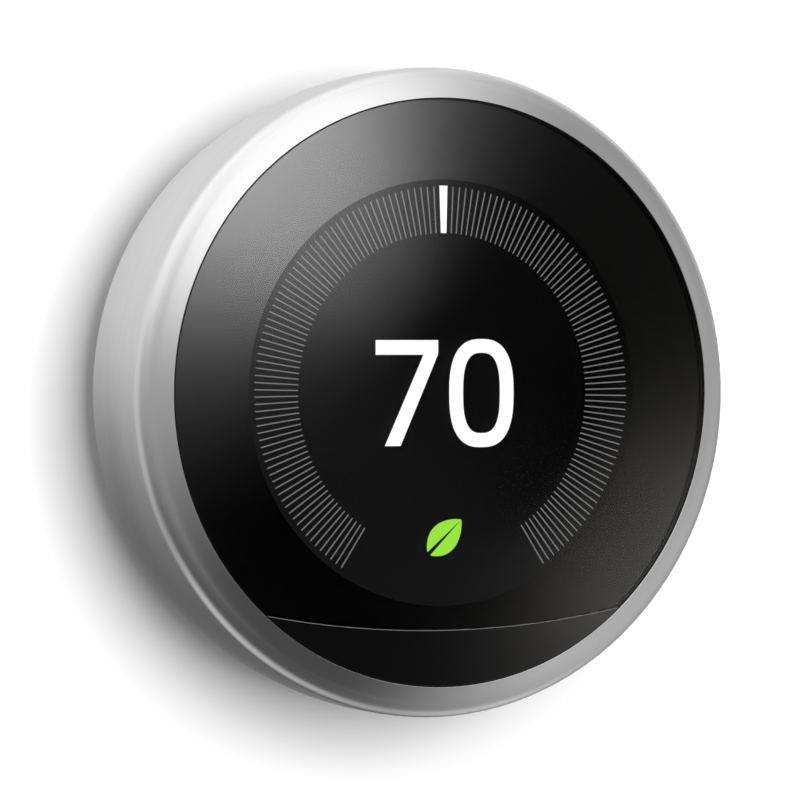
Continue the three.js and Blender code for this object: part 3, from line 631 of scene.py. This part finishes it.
SEVEN = [(-9.66, 6.75), (-0.82, 6.75), (-0.82, 4.98), (-6.16, -6.8), (-8.37, -6.8),
         (-2.9, 4.87), (-9.66, 4.87)]
bm = raise_faces(flat_shape(SEVEN))
finish_piece(bm, "number_seven", "head_front", lit_white)

ZERO_OUTER = (5.38, -0.07, 9.24, 13.95, 2.6)  # middle x and z, width, height, squareness
ZERO_INNER = (5.38, -0.05, 5.3, 10.35, 2.75)
bm = bmesh.new()
squarish(bm, *ZERO_OUTER)
squarish(bm, *ZERO_INNER)
bmesh.ops.bridge_loops(bm, edges=bm.edges[:])
raise_faces(bm)
finish_piece(bm, "number_zero", "head_front", lit_white)

LEAF_LENGTH, LEAF_WIDTH, LEAF_TURN, LEAF_SLIT = 6.3, 3.6, 43, 2.6
LEAF_MIDDLE = (0.2, -18.5)
bm = bmesh.new()
for side in (1, -1):
    half = bmesh.ops.create_circle(bm, segments=48, radius=1.0, cap_ends=True)["verts"]
    for vertex in half:
        along, across = vertex.co.x, vertex.co.y
        fullness = abs(across) ** 0.7 * (1 - 0.16 * along)
        vertex.co = Vector((along * LEAF_LENGTH / 2, 0, across * fullness * LEAF_WIDTH / 2)) * MM
    faces = {face for vertex in half for face in vertex.link_faces}
    edges = {edge for vertex in half for edge in vertex.link_edges}
    cut = bmesh.ops.bisect_plane(bm, geom=[*half, *edges, *faces], plane_co=(0, 0, 0),
                                 plane_no=(0, 0, side), clear_inner=True)
    kept = {item for item in cut["geom"] + cut["geom_cut"] if isinstance(item, bmesh.types.BMVert)}
    tip = Vector((LEAF_LENGTH / 2 * MM, 0, 0))
    bmesh.ops.rotate(bm, verts=list(kept), cent=tip,
                     matrix=Matrix.Rotation(math.radians(side * LEAF_SLIT), 3, "Y"))
bmesh.ops.rotate(bm, verts=bm.verts[:], matrix=Matrix.Rotation(-math.radians(LEAF_TURN), 3, "Y"))
bmesh.ops.translate(bm, verts=bm.verts[:], vec=(LEAF_MIDDLE[0] * MM, 0, LEAF_MIDDLE[1] * MM))
raise_faces(bm)
finish_piece(bm, "leaf", "head_front", lit_green)

# %% [markdown]
# ## Moulded plastic
# Moulded plastic looks like plastic because its skin copies the mould: a spark-eroded grain a
# quarter of a millimetre across, and a gloss that wanders a little where the mould is worn. One
# function makes every such finish. The release tabs also have ribs to grip, as thin as a nail.

# %% Plastics
def moulded(name, color, roughness, grain=0.25, depth=0.006, unevenness=0.1, **constants):
    """Moulded plastic with a fine grain, and slightly uneven colour and gloss."""
    finish = Finish(name, color, roughness, **constants)
    place = finish.place()
    fine = finish.noise(place, 1 / (grain * MM), detail=2.0)
    broad = finish.ramp(finish.noise(place, 110.0, detail=3.0), 0.3, 0.7)
    finish.set("Base Color", finish.mix(broad, tuple((1 - unevenness) * c for c in color), color))
    finish.set("Roughness", roughness - 0.05 + 0.1 * broad)
    finish.bump(fine, depth * MM)
    return finish


black_plastic = moulded("black_plastic", (0.018, 0.018, 0.019), 0.48, depth=0.012)
white_plastic = moulded("white_plastic", (0.80, 0.80, 0.78), 0.42, grain=0.2, unevenness=0.03)
slippery_plastic = moulded("slippery_plastic", (0.72, 0.70, 0.64), 0.3, grain=0.4, depth=0.003)

RIB_PITCH = 0.7 * MM
tab_black = moulded("release_tab_black", (0.012, 0.012, 0.013), 0.3, grain=0.3, depth=0.004)
x, y, z = tab_black.axes(tab_black.place())
radius = tab_black.length(x, 0, z)
ribs = tab_black.maths("FRACT", radius / RIB_PITCH)
gripped = (radius > 23.4 * MM) * (radius < 26.6 * MM)
tab_black.bump(tab_black.ramp(ribs, 0.0, 0.5) * tab_black.ramp(ribs, 1.0, 0.5) * gripped, 0.12 * MM)
print("plastics: black, white, slippery and tab")

# %% [markdown]
# ## Plated metal, boards and films
# Pressed and plated metal has scratches that run mostly one way, over a faint mottle from the
# plating bath. Circuit boards get copper tracks under green resist: the plane is broken into
# square cells, tracks run across in some and up in others, and a small tinned hole sits in each.

# %% Metals
def plated(name, color, roughness, scratch=0.12):
    """Plated metal: a soft mottle, and scratches that are long across the room."""
    finish = Finish(name, color, roughness, metallic=1.0)
    x, y, z = finish.axes(finish.place())
    mottle = finish.ramp(finish.noise(finish.place(), 600.0, detail=3.0), 0.3, 0.7)
    line = scratch * MM
    scratches = finish.noise(finish.vector(x / (30 * line), y / line, z / line), 1.0, detail=3.0)
    finish.set("Base Color", finish.mix(mottle, tuple(0.86 * c for c in color), color))
    finish.set("Roughness", roughness + 0.12 * scratches)
    finish.bump(scratches, 0.002 * MM)
    return finish


tin_plate = plated("tin_plate", (0.68, 0.69, 0.70), 0.26)
screw_steel = plated("screw_steel", (0.66, 0.66, 0.64), 0.2, scratch=0.06)
contact_gold = plated("contact_gold", (0.83, 0.6, 0.24), 0.2, scratch=0.08)

# %% Circuit boards
TRACK_PITCH, BOARD_CELL, HOLE_RADIUS = 0.55 * MM, 4.0 * MM, 0.13
board_green = Finish("board_green", (0.01, 0.08, 0.035), 0.28, coat_weight=0.4)
x, y, z = board_green.axes(board_green.place())
cells = {"Vector": board_green.vector(x, 0, z), "Scale": 1 / BOARD_CELL, "Randomness": 0.8}
way = board_green.axes(board_green.node(
    "ShaderNodeTexVoronoi", {"distance": "CHEBYCHEV"}, cells, output="Color"))[0]
from_hole = board_green.node("ShaderNodeTexVoronoi", {}, {**cells, "Scale": 2 / BOARD_CELL},
                             output="Distance")
runs_across = way > 0.5
tracks_across = board_green.maths("FRACT", z / TRACK_PITCH) < 0.42
tracks_up = board_green.maths("FRACT", x / TRACK_PITCH) < 0.42
copper = (runs_across * tracks_across + (1 - runs_across) * tracks_up) * (way > 0.18)
hole = from_hole < HOLE_RADIUS
resist = board_green.mix(copper, (0.004, 0.045, 0.02), (0.018, 0.13, 0.05))
board_green.set("Base Color", board_green.mix(hole, resist, (0.62, 0.6, 0.55)))
board_green.set("Metallic", hole)
board_green.set("Roughness", 0.26 + 0.12 * hole)
board_green.bump(copper - hole, 0.02 * MM)

# %% Films, wraps and small optics
STRIPES = 180
encoder_film = Finish("encoder_film", (0.5, 0.5, 0.5), 0.25)
x, y, z = encoder_film.axes(encoder_film.place())
angle = encoder_film.maths("ARCTAN2", z, x)
stripe = encoder_film.maths("FRACT", angle * (STRIPES / (2 * math.pi)) + STRIPES) < 0.5
encoder_film.set("Base Color", encoder_film.mix(stripe, (0.01, 0.01, 0.01), (0.75, 0.75, 0.75)))
encoder_film.set("Metallic", stripe)

flex_amber = Finish("flex_amber", (0.6, 0.25, 0.04), 0.25, coat_weight=0.3)
x, y, z = flex_amber.axes(flex_amber.place())
line = flex_amber.maths("FRACT", x / (0.4 * MM)) < 0.5
flex_amber.set("Base Color", flex_amber.mix(line, (0.45, 0.17, 0.025), (0.62, 0.28, 0.07)))
flex_amber.bump(line, 0.01 * MM)

cell_wrap = Finish("cell_wrap", (0.09, 0.1, 0.12), 0.35)
crease_height_and_shade = cell_wrap.noise(cell_wrap.place(), 260.0, detail=4.0, roughness=0.6)
# The colour is darker in the hollows of the creases: painted shade.
cell_wrap.set("Base Color", cell_wrap.mix(crease_height_and_shade, (0.07, 0.08, 0.1), (0.11, 0.12, 0.145)))
cell_wrap.set("Roughness", 0.28 + 0.15 * crease_height_and_shade)
cell_wrap.bump(crease_height_and_shade, 0.05 * MM)

lens_low, lens_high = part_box("fresnel_lens")
lens_z = (lens_low.z + lens_high.z) / 2
lens_plastic = Finish("lens_plastic", (0.75, 0.76, 0.76), 0.3)
x, y, z = lens_plastic.axes(lens_plastic.place())
from_middle = lens_plastic.length(x, 0, z - lens_z)
facet_height_and_shade = lens_plastic.maths("FRACT", from_middle / (0.3 * MM))
# Each ring is darker at its low step and lighter towards its high edge: painted shade.
lens_plastic.set("Base Color", lens_plastic.mix(facet_height_and_shade, (0.7, 0.71, 0.71), (0.82, 0.83, 0.83)))
lens_plastic.bump(facet_height_and_shade, 0.06 * MM)
print("encoder stripes:", STRIPES)

# %% [markdown]
# ## The level vial
# A small spirit level in the base shows whether it is mounted straight. It is a round-ended tube
# of yellow-green fluid with a bubble between two black lines. The tube is a profile spun round its
# own length. The bubble is painted in as an oval: its lighter middle is painted light and its dark
# rim is painted shade, which is how a bubble looks through a curved wall.

# %% Level vial
vial_low, vial_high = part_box("bubble_level_vial")
vial_middle = (vial_low + vial_high) / 2
vial_half = (vial_high.x - vial_low.x) / 2
vial_radius = (vial_high.z - vial_low.z) / 2
BUBBLE_HALF, BUBBLE_RADIUS = 1.7 * MM, 1.0 * MM

vial_fluid = Finish("level_glass", (0.5, 0.72, 0.08), 0.06, coat_weight=1.0)
x, y, z = vial_fluid.axes(vial_fluid.place())
oval = vial_fluid.length(x / BUBBLE_HALF, 0, (z - (vial_middle.z + 0.3 * MM)) / BUBBLE_RADIUS)
# The bubble's lighter middle is painted light, and its dark rim is painted shade.
bubble_lit_middle_and_shaded_rim = vial_fluid.mix(vial_fluid.ramp(oval, 0.75, 0.95), (0.78, 0.88, 0.42), (0.12, 0.2, 0.02))
vial_fluid.set("Base Color", vial_fluid.mix(
    vial_fluid.ramp(oval, 0.97, 1.05), bubble_lit_middle_and_shaded_rim, (0.5, 0.72, 0.08)))


def vial_part(corners, name, finish, stands_for=()):
    """A profile of [along, radius] corners in metres, spun round the vial's length."""
    bm = bmesh.new()
    made = [bm.verts.new((along, -r, 0)) for along, r in corners]
    for first, second in zip(made, made[1:]):
        bm.edges.new((first, second))
    turn(bm, 32, axis=(1, 0, 0))
    bmesh.ops.translate(bm, verts=bm.verts[:], vec=vial_middle)
    return finish_piece(bm, name, "wall_base", finish, stands_for, weigh=False)


end = 0.55 * vial_radius
vial_part([(-vial_half, 0), (-vial_half, 0.5 * vial_radius),
           (-vial_half + 0.4 * end, 0.85 * vial_radius), (-vial_half + end, vial_radius),
           (vial_half - end, vial_radius), (vial_half - 0.4 * end, 0.85 * vial_radius),
           (vial_half, 0.5 * vial_radius), (vial_half, 0)],
          "level_vial_filled", vial_fluid, ["bubble_level_vial"])
mark_paint = moulded("level_mark", (0.01, 0.01, 0.01), 0.3)
for mark in (-1, 1):
    at, half, skin = mark * 2.1 * MM, 0.15 * MM, vial_radius + 0.02 * MM
    vial_part([(at - half, vial_radius - 0.1 * MM), (at - half, skin), (at + half, skin),
               (at + half, vial_radius - 0.1 * MM)],
              "level_mark_" + ("left" if mark < 0 else "right"), mark_paint)
print("vial", round(2 * vial_half / MM, 1), "mm long")

# %% [markdown]
# ## Return springs
# Each spring is a coil of round wire that pushes the head back out after a press. A spin can climb
# as it turns, so a small circle spun several times round the screw's axis is a coil at once. It
# can't follow both bodies that it sits between, so it rides the body of the solid it stands for.

# %% Coil the springs
SPRING_WIRE, SPRING_TURNS, SPRING_STEPS = 0.3 * MM, 4.5, 24
for number in (1, 2, 3):
    node = f"return_spring_{number}"
    low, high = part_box(node)
    middle = (low + high) / 2
    coil_radius = (high.x - low.x) / 2 - SPRING_WIRE
    steps = round(SPRING_TURNS * SPRING_STEPS)
    climb = (high.y - low.y - 2 * SPRING_WIRE) / steps
    bm = bmesh.new()
    ring_of_wire = bmesh.ops.create_circle(bm, segments=10, radius=SPRING_WIRE)["verts"]
    bmesh.ops.translate(bm, verts=ring_of_wire,
                        vec=(middle.x + coil_radius, high.y - SPRING_WIRE, middle.z))
    bmesh.ops.spin(bm, geom=bm.verts[:] + bm.edges[:], cent=middle, axis=(0, 1, 0),
                   dvec=(0, -climb, 0), angle=2 * math.pi * SPRING_TURNS, steps=steps,
                   use_merge=False, use_duplicate=False)
    bmesh.ops.holes_fill(bm, edges=[e for e in bm.edges if e.is_boundary], sides=12)
    bmesh.ops.recalc_face_normals(bm, faces=bm.faces[:])
    reach = [v.co.y for v in bm.verts]
    print(node, "coil from", round(-max(reach) / MM, 2), "to", round(-min(reach) / MM, 2), "mm")
    spring = finish_piece(bm, f"spring_coil_{number}", frame["nodes"][node]["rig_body"],
                          screw_steel, [node], weigh=False)
    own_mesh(spring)

# %% [markdown]
# ## Everything the frame already shapes
# The rest is moulded, pressed or etched, and the frame has those shapes. What can be seen with
# the head on or off gets rounded corners. What is sealed inside keeps its solid and takes its
# finish, as each solid names the material it is made of.

# %% Finish the remaining solids
finishes = {
    "black_plastic": black_plastic, "white_plastic": white_plastic, "release_tab_black": tab_black,
    "slippery_plastic": slippery_plastic, "tin_plate": tin_plate, "screw_steel": screw_steel,
    "board_green": board_green, "contact_gold": contact_gold, "flex_amber": flex_amber,
    "cell_wrap": cell_wrap, "encoder_film": encoder_film, "lens_plastic": lens_plastic,
}
corner_widths = {  # mm
    "base_plate": 0.25, "base_cover": 0.2, "base_socket": 0.2, "head_plug": 0.2,
    "head_rear_cover": 0.25, "front_frame": 0.12, "ring_carrier": 0.12, "usb_socket": 0.1,
    "click_switch_plunger": 0.12, "click_switch": 0.12, "battery": 0.6, "display_tray": 0.1,
    "processor_shield": 0.15, "radio_shield": 0.15, "ring_retainer": 0.12,
}
for side in ("right", "left"):
    for number in range(1, 6):
        corner_widths[f"release_tab_{side}_{number}"] = 0.3
        corner_widths[f"wire_contact_{side}_{number}"] = 0.06

kept_solids = 0
for node, solid in frame["nodes"].items():
    finish = finishes.get(solid.data.materials[0].name.split(".")[0])
    if node in corner_widths:
        rounded(node, finish, corner_widths[node])
    elif finish and not node.startswith("return_spring"):
        for slot in solid.material_slots:
            slot.material = finish.material
        kept_solids += 1
print("rounded:", len(corner_widths), "kept with a new finish:", kept_solids)

# %% [markdown]
# ## The room: wall, floor and light
# A wall-hung piece needs its wall, but the wall must not hide the object from behind, nor block
# the light there. So only the camera sees it, and it is clear from the back.

# %% Wall and floor
def flat_card(name, width, height):
    """A rectangle facing -Y, centred on its own origin."""
    bm = bmesh.new()
    bmesh.ops.create_grid(bm, x_segments=1, y_segments=1, size=0.5)
    bmesh.ops.scale(bm, verts=bm.verts[:], vec=(width, height, 1))
    bmesh.ops.rotate(bm, verts=bm.verts[:], matrix=Matrix.Rotation(math.pi / 2, 3, "X"))
    mesh = bpy.data.meshes.new(name)
    bm.to_mesh(mesh)
    bm.free()
    card = bpy.data.objects.new(name, mesh)
    bpy.context.scene.collection.objects.link(card)
    return card


def seen_only_by(card, camera=False, diffuse=False, glossy=False, transmission=False, shadow=False):
    """Hides a card from every kind of ray but the ones that are named."""
    card.visible_camera, card.visible_diffuse, card.visible_glossy = camera, diffuse, glossy
    card.visible_transmission, card.visible_shadow = transmission, shadow


plaster = Finish("wall_plaster", (0.55, 0.55, 0.55), 0.9, specular_ior_level=0.1)
behind = plaster.node("ShaderNodeNewGeometry", output="Backfacing")
clear = plaster.node("ShaderNodeBsdfTransparent")
seen = plaster.node("ShaderNodeMixShader", values={
    0: behind, 1: Signal(plaster, plaster.shader.outputs[0]), 2: clear})
plaster.tree.links.new(seen.socket, plaster.tree.nodes["Material Output"].inputs["Surface"])

wall = flat_card("wall", 4, 4)
wall.location = (0, 0.0004, 0)
wall.data.materials.append(plaster.material)
seen_only_by(wall, camera=True)

# %% Floor
floor_paint = Finish("floor_paint", (0.8, 0.8, 0.8), 0.8)
mottle = floor_paint.noise(floor_paint.place(), 8.0)
floor_paint.set("Base Color", floor_paint.mix(mottle, (0.78, 0.78, 0.78), (0.82, 0.82, 0.82)))
floor = flat_card("floor", 6, 6)
floor.rotation_euler = (math.pi / 2, 0, 0)
floor.location = (0, -1.5, -1.3)
floor.data.materials.append(floor_paint.material)
seen_only_by(floor, camera=True)

# %% [markdown]
# The world is a gradient, not a picture, and it is written with the same signals as a finish.
# Steel is a mirror, however blurred, so the tones round the ring are the tones of the room: in
# front a bright upper left falls away to a dark floor, the right is an even grey, and the wall
# behind the ring is lighter above than below, with the ring's own shadow close behind it. Only
# the camera sees a plain pale backdrop.

# %% World light
class Sky(Finish):
    """The same helpers on the world's own node tree."""

    def __init__(self):
        self.world = bpy.data.worlds.new("room")
        bpy.context.scene.world = self.world
        self.world.use_nodes = True
        self.tree = self.world.node_tree
        self.shader = self.tree.nodes["Background"]


sky = Sky()
x, y, z = sky.axes(sky.place())
front_left = sky.ramp(z, -0.75, 0.2, 0.08, 0.48) + sky.ramp(z, 0.0, 0.65, 0.0, 0.85)
front_right = sky.ramp(z, -0.5, 0.4, 0.56, 0.38)
rightness = sky.ramp(x, 0.1, 0.8)
front = front_left * (1 - rightness) + front_right * rightness
lean = z - 0.15 * x
ring_shadow = sky.ramp(y, 0.88, 0.98) * sky.ramp(z, 0.15, -0.2)
low_left = sky.ramp(y, 0.85, 0.65) * sky.ramp(z, 0.0, -0.4) * sky.ramp(x, 0.3, -0.4)
low_right = sky.ramp(z, 0.0, -0.4) * sky.ramp(x, 0.25, 0.6)
back = (sky.ramp(lean, -0.6, 0.45, 0.08, 0.88) * (1 - 0.6 * ring_shadow)
        + 0.28 * low_left + 0.3 * low_right)
backness = sky.ramp(y, -0.15, 0.45)
under = sky.ramp(z, -0.55, -0.78) * sky.ramp(y, -0.25, 0.05) * sky.ramp(y, 0.75, 0.45)
room = front * (1 - backness) + back * backness + 0.35 * under
looked_at = sky.node("ShaderNodeLightPath", output="Is Camera Ray")
sky.set("Color", sky.mix(looked_at, sky.vector(room, room, room), (0.92, 0.92, 0.92)))

# %% Lamps
def lamp(name, azimuth, elevation, distance, size, strength, mirrored=True):
    """A square soft lamp, this far from the dial's middle and facing it."""
    data = bpy.data.lights.new(name, "AREA")
    data.shape, data.size, data.energy = "SQUARE", size, strength
    a, e = math.radians(azimuth), math.radians(elevation)
    away = Vector((math.sin(a) * math.cos(e), -math.cos(a) * math.cos(e), math.sin(e)))
    made = bpy.data.objects.new(name, data)
    made.location = away * distance
    made.rotation_euler = (-away).to_track_quat("-Z", "Y").to_euler()
    made.visible_camera = False
    made.visible_glossy = mirrored
    bpy.context.scene.collection.objects.link(made)
    return made


lamp("wall_wash", -4, 5, 1.5, 0.75, 36.0, mirrored=False)

# %% [markdown]
# A black glass shows only what it mirrors, so a studio hides the room behind a dark card and lets
# soft light show in it. Here two fans of light spread from the card's middle, a strong one towards
# the upper left and a weak warm one towards the lower right. Only reflections, and rays that come
# out through the glass, see the card.

# %% Dark card with two fans of light
CARD_AZIMUTH, CARD_DISTANCE, CARD_SIZE, CARD_PEAK = math.radians(26), 1.0, 0.95, 4.0


def fan(finish, towards_x, towards_z, peak, start, end):
    """Light that opens out from the card's middle in one direction, brighter further out."""
    x, y, z = finish.axes(finish.place())
    along = towards_x * x + towards_z * z
    across = finish.maths("ABSOLUTE", towards_z * x - towards_x * z)
    openness = across / finish.maths("MAXIMUM", along, 0.001)
    away = finish.length(x, 0, z)
    reach = finish.ramp(away, start, end, 0.0, peak) * finish.ramp(away, 0.3, 0.36, 1.0, 0.2)
    return reach * finish.ramp(along, 0.0, 0.02) / (1 + 7 * (openness * openness * openness))


card_finish = Finish("reflection_card", (0, 0, 0), 1.0, specular_ior_level=0.0)
x, y, z = card_finish.axes(card_finish.place())
strong = fan(card_finish, -0.698, 0.716, peak=3.3, start=0.035, end=0.15)
weak = fan(card_finish, 0.766, -0.643, peak=0.62, start=0.075, end=0.135)
haze = card_finish.ramp(x + z, -0.05, 0.1, 0.0, 0.03)
tint = card_finish.mix(strong / (strong + weak + 0.001), (1.0, 0.97, 0.9), (1.0, 1.0, 1.0))
brightness = (strong + weak + haze) / CARD_PEAK
card_finish.set("Emission Color", card_finish.mix(brightness, (0, 0, 0), tint))
card_finish.set("Emission Strength", CARD_PEAK)
card = flat_card("reflection_card", CARD_SIZE, CARD_SIZE)
card.data.materials.append(card_finish.material)
card.location = Vector((math.sin(CARD_AZIMUTH), -math.cos(CARD_AZIMUTH), 0)) * CARD_DISTANCE
card.rotation_euler = (0, 0, CARD_AZIMUTH)
seen_only_by(card, glossy=True, transmission=True)

bpy.context.scene.view_settings.view_transform = "Standard"
